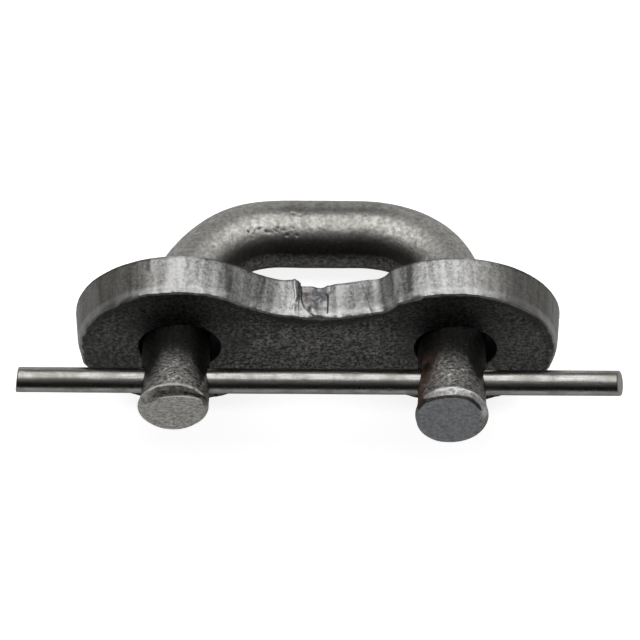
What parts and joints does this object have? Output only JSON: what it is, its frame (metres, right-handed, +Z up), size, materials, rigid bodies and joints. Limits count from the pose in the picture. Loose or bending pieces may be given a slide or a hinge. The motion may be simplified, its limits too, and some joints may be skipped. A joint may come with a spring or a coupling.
{
  "type": "locking pin",
  "caption": "U-shaped round steel bar whose two legs pass through a flame-cut keeper plate, held on by a straight rod through cross holes near the leg ends.",
  "frame": {"origin": "on the floor, under the middle of the part's bounding box, as the part lies at rest", "axes": "+X along the cross rod, +Y from the legs' ends towards the bow along the floor, +Z up"},
  "size_m": [0.1119, 0.05, 0.038],
  "materials": {
    "bar_steel": "hot-rolled, dull mill scale",
    "plate_steel": "hot-rolled scale with flame-cut edges",
    "rod_steel": "drawn bright wire, slightly dull"
  },
  "bodies": {
    "bar": {"u_bar": "bar_steel"},
    "plate": {"keeper_plate": "plate_steel"},
    "rod": {"locking_rod": "rod_steel"}
  },
  "joints": [
    {"name": "plate_slide", "type": "slide", "parent": "bar", "child": "plate", "axis": [0, -0.853, 0.5219], "range_m": [-0.004, 0.0063]},
    {"name": "rod_slide", "type": "slide", "parent": "bar", "child": "rod", "axis": [1, 0, 0], "range_m": [-0.09, 0.09]}
  ]
}
